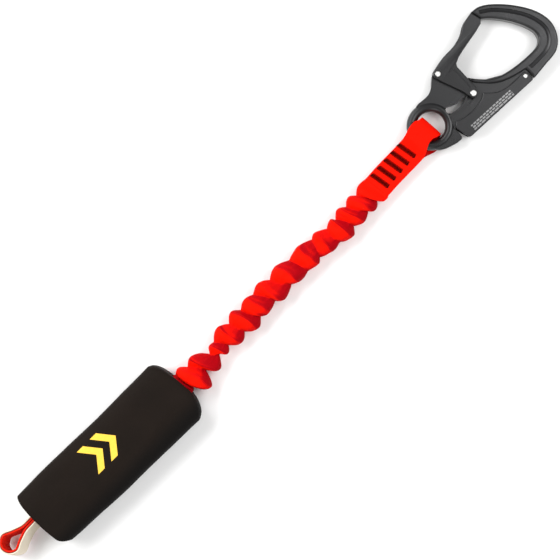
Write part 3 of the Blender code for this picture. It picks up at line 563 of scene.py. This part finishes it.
def build_leg(materials):
    leg, route = leg_mesh()
    paint(leg, materials["webbing_red"])
    line = centre_line(route, MOUTH_X, SHEATH_HIGH[0] + 1.5, 40)
    inner = centre_line(route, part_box("elastic_core")[0][0] / MM, SHEATH_HIGH[0] - 3.0, 60)
    strands = []
    for turn in range(STRANDS):
        around = []
        for x, y, z in inner:
            angle = turn * STRAND_STEP + x / STRAND_LAY
            around.append((x, y + STRAND_SPREAD * math.cos(angle), z + STRAND_SPREAD * math.sin(angle)))
        strands.append(thread(f"strand_{turn}", around, STRAND_RADIUS))
    core = paint(joined("elastic_strands", strands), materials["elastic_rubber"])
    for piece, node in ((leg, "leg_sheath"), (core, "elastic_core")):
        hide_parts(node)
        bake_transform(piece)


# ---------------------------------------------------------------- tab and eye loop

EYE_BAR_HALF = 4.5
PLY_GAP = 0.3
TACK_THREAD_WIDTH = 3.0
TACK_THREAD_LENGTH = 14.6
TACK_PASSES = 46
TACK_SLANT = 0.1
TACK_THREAD_RADIUS = 0.5
TAB_FRAME = Matrix.Translation(EYE) @ Matrix.Rotation(TAB_TURN, 4, "Z")


def band_section(half_width, thickness, count=40):
    """A strip of webbing cut across: flat faces, round selvedges."""
    side, up = section(0.3, 0.42, count)
    return half_width * side, thickness / 2 * up


def tab_path():
    """The webbing from the gathers, round the ring and back: rows of (x, z, heading, shift, half width)."""
    root = PLY_GAP / 2 + WEB_THICKNESS / 2
    middle = EYE_BAR_HALF + 0.35 + WEB_THICKNESS / 2
    fold_x = 1.2 - WEB_THICKNESS / 2 - middle
    start = SHEATH_HIGH[0] - EYE[0] - 2.0
    straight = np.linspace(start, fold_x, 110)
    rise = root + (middle - root) * smoothstep(-23.0, -15.0, straight)
    heading = np.arctan2(np.gradient(rise), np.gradient(straight))
    front = np.stack([straight, rise, heading], axis=-1)
    turn = np.linspace(math.pi / 2, -math.pi / 2, 28)[1:-1]
    fold = np.stack([fold_x + middle * np.cos(turn), middle * np.sin(turn), turn - math.pi / 2], axis=-1)
    back = np.stack([straight, -rise, math.pi - heading], axis=-1)[::-1]
    path = np.concatenate([front, fold, back])
    part = np.concatenate([np.zeros(len(front)), np.linspace(0, 1, len(fold) + 2)[1:-1], np.ones(len(back))])
    x = path[:, 0]
    towards_loop = smoothstep(-52, -20, x)
    slide = smoothstep(-21, -9, x)
    front_shift = -1.1 * towards_loop + 3.2 * slide
    back_shift = -1.1 * towards_loop - 3.6 * slide
    settle = smoothstep(-7.0, 0.5, x)
    shift = (front_shift * (1 - part) + back_shift * part) * (1 - 0.9 * settle)
    half = WEB_HALF_WIDTH + 0.15 - 1.0 * slide * (1 - part) - 0.4 * settle
    return np.concatenate([path, shift[:, None], half[:, None]], axis=1)


def build_tab(materials):
    path = tab_path()
    rings = []
    for x, z, heading, shift, half in path:
        side, up = band_section(half, WEB_THICKNESS)
        normal = (-math.sin(heading), math.cos(heading))
        rings.append(np.stack([x + normal[0] * up, shift + side, z + normal[1] * up], axis=-1))
    rings = np.array(rings)
    across = (rings[..., 1] - path[:, 3:4]) * WEB_HALF_WIDTH / path[:, 4:5]
    for ring in rings.reshape(-1, 3):
        ring[2] += 0.12 * rough(ring, 6.0)
    along = np.concatenate([[0], np.cumsum(np.hypot(np.diff(path[:, 0]), np.diff(path[:, 1])))])
    tab = skin("tab_webbing", rings)
    # Painted shade: the back ply near the eye, under the front one, and both selvedges take the dark colour.
    back_ply_shade = smoothstep(-30, -16, path[:, 0]) * (path[:, 1] < 0)
    painted_shade = (0.55 * back_ply_shade)[:, None] + 0.35 * smoothstep(0.86, 1.0, np.abs(across) / WEB_HALF_WIDTH)
    tag_cloth(tab, along[:, None], across, np.clip(painted_shade, 0, 1))
    tab.data.transform(TO_MM)
    tab.data.transform(TO_METRES @ TAB_FRAME)
    paint(tab, materials["webbing_red"])
    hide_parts("tab_front", "tab_back", "eye_loop")
    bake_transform(tab)
    build_tab_stitching(materials)


def tack_thread(name, frame_matrix, middle, height):
    """One side of a bar tack: a dense zigzag of thread."""
    points = []
    for i in range(TACK_PASSES + 1):
        y = TACK_THREAD_LENGTH * (0.5 - i / TACK_PASSES)
        x = TACK_THREAD_WIDTH * (0.5 if i % 2 else -0.5) * (1 + 0.08 * math.sin(5.3 * i))
        points.append(frame_matrix @ Vector((middle[0] + x - TACK_SLANT * y, middle[1] + y, height)))
    return thread(name, points, TACK_THREAD_RADIUS)


def build_tab_stitching(materials):
    for number in range(1, 6):
        low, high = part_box(f"bar_tack_{number}")
        spot = TAB_FRAME.inverted() @ ((Vector(low) + Vector(high)) / 2 / MM)
        face = PLY_GAP / 2 + WEB_THICKNESS + 0.3
        sides = [tack_thread(f"side_{sign}", TAB_FRAME, spot, sign * face) for sign in (1, -1)]
        piece = paint(joined(f"tack_stitching_{number}", sides), materials["thread_black"])
        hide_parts(f"bar_tack_{number}")
        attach(piece, "leg_end")


# ---------------------------------------------------------------- tail loop


def smooth_line(points, count):
    """A Catmull-Rom curve through plan points, at that many even steps."""
    points = np.asarray(points, float)
    padded = np.concatenate([2 * points[:1] - points[1:2], points, 2 * points[-1:] - points[-2:-1]])
    result = []
    for value in np.linspace(0, len(points) - 1 - 1e-9, count):
        i, t = int(value), value - int(value)
        weights = (-t + 2 * t**2 - t**3, 2 - 5 * t**2 + 3 * t**3, t + 4 * t**2 - 3 * t**3, -(t**2) + t**3)
        result.append(sum(w * padded[i + k] for k, w in enumerate(weights)) / 2)
    return np.array(result)


TAIL_LEAN = math.radians(-14)
# Piece, thickness, how far inside the loop's outline, material, the node it stands for.
TAIL_LAYERS = (
    ("tail_webbing_outer", 1.2, 0.6, "webbing_cream", "tail_loop_outer"),
    ("tail_webbing_inner", 1.6, 2.3, "tear_red", "tail_loop_inner"),
)


def build_tail_loop(materials):
    """The two layers of the tail loop, which lean to one side."""
    low, high = (np.array(corner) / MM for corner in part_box("tail_loop_outer"))
    reach = high[0] - low[0]
    half = 9.0
    neck = 3.25
    upper = [(4.0, neck - 0.1), (0, neck), (-0.2 * reach, neck + 0.3), (-0.45 * reach, 0.68 * half)]
    upper += [(-0.7 * reach, half), (-0.92 * reach, 0.66 * half)]
    outline = smooth_line(upper + [(-reach, 0)] + [(x, -y) for x, y in reversed(upper)], 130)
    heading = np.arctan2(np.gradient(outline[:, 1]), np.gradient(outline[:, 0]))
    place = Matrix.Translation(TAIL_AXIS) @ Euler((TAIL_LEAN, 0, 0)).to_matrix().to_4x4()
    for name, thickness, depth, slot_name, node in TAIL_LAYERS:
        rings = []
        for (x, y), angle in zip(outline, heading):
            side, up = band_section(WEB_HALF_WIDTH, thickness, 32)
            inward = np.array([-math.sin(angle), math.cos(angle)])
            flare = 0.5 * rough((x, y, depth), 8.0)
            plan = np.array((x, y))[:, None] + inward[:, None] * (depth + up)
            rings.append(np.stack([*plan, side + flare], axis=-1))
        rings = np.array(rings)
        along = np.concatenate([[0], np.cumsum(np.linalg.norm(np.diff(outline, axis=0), axis=1))])
        piece = skin(name, rings)
        # Painted shade on both layers towards the neck, next to the pack.
        inside = smoothstep(-0.6 * reach, 0, outline[:, 0])[:, None] * 0.35
        tag_cloth(piece, along[:, None], band_section(WEB_HALF_WIDTH, thickness, 32)[0][None, :], inside)
        piece.data.transform(TO_METRES @ place @ TO_MM)
        paint(piece, materials[slot_name])
        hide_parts(node)
        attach(piece, "tail_loop")


# ---------------------------------------------------------------- absorber sleeve


def sleeve_half_widths(x):
    """The pack's upper and lower edge at x, seen from above."""
    share = (x - SLEEVE_LOW[0]) / (MOUTH_X - SLEEVE_LOW[0])
    upper = 26.2 - 0.9 * share - 0.5 * math.sin(math.pi * share) + 0.35 * math.sin(7 * share)
    lower = 24.0 + 4.2 * share + 0.5 * math.sin(math.pi * share)
    return upper, lower


def sleeve_ring(x, share, opening, count=112):
    """One ring of the sleeve: a soft box whose far edge is rounder.

    It closes to the opening, (middle y, half width, half height), as share goes to 0.
    """
    upper, lower = sleeve_half_widths(x)
    height = (SLEEVE_HIGH[2] - SLEEVE_LOW[2]) / 2
    points = []
    for i in range(count):
        angle = 2 * math.pi * i / count
        c, s = math.cos(angle), math.sin(angle)
        blunt = 0.5 if s < 0 else (0.42 if c > 0 else 0.66)
        half = upper if c > 0 else lower
        y = half * math.copysign(abs(c) ** blunt, c)
        z = height * math.copysign(abs(s) ** blunt, s)
        open_y = opening[0] + opening[1] * math.copysign(abs(c) ** 0.6, c)
        open_z = opening[2] * math.copysign(abs(s) ** 0.6, s)
        points.append([x, open_y + (y - open_y) * share, height + open_z + (z - open_z) * share])
    return np.array(points)


def sleeve_rings():
    """Rings from inside the tail's slot, along the pack, to inside the mouth."""
    tail_open = (4.0, 5.2, 11.4)
    mouth_open = (-1.0, 10.4, 9.2)
    tail_x = SLEEVE_LOW[0] + 1.0
    tail_round, mouth_round = 3.5, 7.5
    rings = [sleeve_ring(tail_x + 4.0, 0.0, tail_open), sleeve_ring(tail_x + 1.0, 0.0, tail_open)]
    rings.append(sleeve_ring(tail_x, 0.0, tail_open))
    for turn in np.linspace(1, 0, 16)[1:] * math.pi / 2:
        share = math.cos(turn) ** 0.7
        rings.append(sleeve_ring(tail_x + tail_round * (1 - math.sin(turn) ** 1.1), share, tail_open))
    stop = MOUTH_X - mouth_round
    for x in np.linspace(tail_x + tail_round, stop, 74)[1:-1]:
        rings.append(sleeve_ring(x, 1.0, mouth_open))
    for turn in np.linspace(0, 1, 18)[:-1] * math.pi / 2:
        share = math.cos(turn) ** 0.7
        rings.append(sleeve_ring(stop + mouth_round * math.sin(turn) ** 1.1, share, mouth_open))
    rings.append(sleeve_ring(MOUTH_X, 0.0, mouth_open))
    rings.append(sleeve_ring(MOUTH_X - 3.0, 0.0, mouth_open))
    return np.array(rings)


MOUTH_CURVE = [(-29, -5.0), (-24, -2.6), (-16, -0.8), (-8, 0.0), (4, -0.9), (14, -2.0), (26, -3.0)]
TAIL_CORNER = 8.0
SLEEVE_WALL = 1.2
FLOOR_GAP = 0.2  # the sleeve's underside stays this far above the floor


def shape_ends(rings):
    """Curves the mouth's edge, as (across, along) in MOUTH_CURVE, and rounds the tail's lower corner."""
    across, along = zip(*MOUTH_CURVE)
    x, y = rings[..., 0], rings[..., 1]
    at_mouth = smoothstep(MOUTH_X - 34, MOUTH_X, x)
    at_tail = 1 - smoothstep(SLEEVE_LOW[0], SLEEVE_LOW[0] + 2.5 * TAIL_CORNER, x)
    past_corner = np.clip((-y - 16.0) / TAIL_CORNER, 0, 1)
    rings[..., 0] = x + at_mouth * np.interp(y, across, along) + at_tail * 0.7 * TAIL_CORNER * past_corner**2
    return rings


def crumple(rings):
    """Soft creases: long diagonal ones over the pack and short ones gathered at both ends."""
    middle = rings.mean(axis=1, keepdims=True)
    out = rings - middle
    out[..., 0] = 0
    out /= np.maximum(np.linalg.norm(out, axis=2, keepdims=True), 1e-6)
    for i, ring in enumerate(rings):
        for j, point in enumerate(ring):
            x, y, z = point
            ends = math.exp(-(MOUTH_X - x) / 13) + 0.7 * math.exp(-(x - SLEEVE_LOW[0]) / 10)
            crown = max(out[i, j, 2], 0)  # the top creases more than the sides
            broad = (0.35 + 0.6 * crown) * rough((x + 0.6 * y, y, z), 26.0)
            slant = (0.1 + 0.35 * crown) * rough((0.5 * x - y, y, z + 30), 11.0)
            short = 0.55 * ends * rough((x / 3, y, z), 6.5)
            rings[i, j] += out[i, j] * (broad + slant + short)
            rings[i, j, 2] = max(rings[i, j, 2], FLOOR_GAP)
    return rings


def build_sleeve(materials):
    rings = crumple(shape_ends(sleeve_rings()))
    sleeve = paint(skin("sleeve_cover", rings, capped=False), materials["sleeve_black"])
    wall = sleeve.modifiers.new("wall", "SOLIDIFY")
    wall.thickness = SLEEVE_WALL * MM
    wall.offset = -1
    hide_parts("absorber_sleeve")
    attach(sleeve, "pack")


# ---------------------------------------------------------------- hook


def build_hook(materials):
    finishes = {
        "hook_frame": "anodised_black",
        "gate": "gate_black",
        "palm_lever": "lever_black",
        "guide_pin_front": "rivet_steel",
        "guide_pin_back": "rivet_steel",
        "gate_pivot_rivet": "rivet_steel",
        "lever_pivot_rivet": "rivet_steel",
        "gate_spring": "spring_steel",
        "lever_spring": "spring_steel",
    }
    for node, name in finishes.items():
        paint(frame["nodes"][node], materials[name])


def paint_inner_nodes(materials):
    """The CAD nodes inside the pack."""
    for node in ("leg_strap", "tail_strap"):
        paint(frame["nodes"][node], materials["webbing_inside"])
    paint(frame["nodes"]["tear_webbing"], materials["tear_inside"])
    for node in ("mouth_tack_1", "mouth_tack_2", "tail_tack_1", "tail_tack_2"):
        paint(frame["nodes"][node], materials["thread_black"])


# ---------------------------------------------------------------- studio


CAMERA_OVER = (0.1742, 0.0023)  # the point below the camera, in metres
CAMERA_HEIGHT = 1.344  # above the eye's middle, in metres
WORLD_LIGHT = 0.42
FLOOR_SPAN = 1.6


def build_camera():
    """Straight above the lanyard, turned so that it runs from lower left to upper right."""
    lens = bpy.data.cameras.new("camera")
    lens.lens = 120
    lens.sensor_width = 36
    camera = bpy.data.objects.new("camera", lens)
    bpy.context.scene.collection.objects.link(camera)
    half = math.sqrt(0.5)
    right, up, back = Vector((half, -half, 0)), Vector((half, half, 0)), Vector((0, 0, 1))
    camera.matrix_world = Matrix((right, up, back)).transposed().to_4x4()
    camera.location = (*CAMERA_OVER, CAMERA_HEIGHT + EYE[2] * MM)
    bpy.context.scene.camera = camera


def softbox(name, place, target, size, power):
    light = bpy.data.lights.new(name, "AREA")
    light.shape = "RECTANGLE"
    light.size, light.size_y = size
    light.energy = power
    obj = bpy.data.objects.new(name, light)
    bpy.context.scene.collection.objects.link(obj)
    obj.location = place
    obj.rotation_euler = (Vector(target) - Vector(place)).to_track_quat("-Z", "Y").to_euler()


def build_studio():
    world = bpy.data.worlds.new("studio")
    world.use_nodes = True
    world.node_tree.nodes["Background"].inputs["Color"].default_value = (1, 1, 1, 1)
    world.node_tree.nodes["Background"].inputs["Strength"].default_value = WORLD_LIGHT
    bpy.context.scene.world = world
    middle = (0.17, 0.0, 0.0)
    softbox("key", (-0.1, 0.75, 0.9), middle, (1.0, 0.5), 13.0)
    softbox("fill", (0.8, -0.35, 0.9), middle, (0.6, 0.6), 6.5)
    softbox("strip", (0.0, 0.95, 0.42), middle, (1.3, 0.08), 3.5)
    softbox("crown", (0.6, 0.02, 0.9), (0.42, 0.0, 0.0), (0.16, 0.22), 0.45)
    softbox("side", (-0.5, -0.6, 0.8), middle, (0.5, 0.5), 3.0)
    bpy.context.scene.view_settings.view_transform = "Standard"
    corners = [(x * FLOOR_SPAN, y * FLOOR_SPAN, 0) for x, y in ((-1, -1), (1, -1), (1, 1), (-1, 1))]
    floor = mesh_object("studio_floor", np.array(corners) / MM, [(0, 1, 2, 3)])
    paint(floor, floor_material())


def build_materials():
    # Each webbing's dark colour is painted shade, laid on by the cloth attribute.
    red, painted_shade_red = colour(240, 17, 0), colour(158, 0, 12)
    frame_black = anodised_material("anodised_black", colour(46, 46, 47), colour(38, 38, 39), 0.3)
    gate_black = anodised_material("gate_black", colour(38, 38, 39), colour(31, 31, 32), 0.33)
    return {
        "webbing_red": webbing_material("webbing_red", red, painted_shade_red),
        "webbing_inside": webbing_material("webbing_inside", red, painted_shade_red, "place"),
        "tear_inside": webbing_material("tear_inside", colour(205, 30, 15), colour(130, 10, 10), "place"),
        "tear_red": webbing_material("tear_red", colour(214, 36, 18), colour(120, 8, 8)),
        "webbing_cream": webbing_material("webbing_cream", colour(226, 214, 194), colour(188, 170, 146)),
        "elastic_rubber": rubber_material(),
        "thread_black": thread_material("thread_black", colour(8, 2, 2)),
        "sleeve_black": sleeve_material(),
        "anodised_black": frame_black.material,
        "gate_black": gate_black.material,
        "lever_black": lever_material(),
        "rivet_steel": steel_material("rivet_steel", colour(235, 235, 232), colour(205, 205, 202), 0.3),
        "spring_steel": steel_material("spring_steel", colour(190, 190, 192), colour(160, 160, 162), 0.35),
    }


build_camera()
MATERIALS = build_materials()
build_leg(MATERIALS)
build_tab(MATERIALS)
build_tail_loop(MATERIALS)
build_sleeve(MATERIALS)
build_hook(MATERIALS)
paint_inner_nodes(MATERIALS)
build_studio()
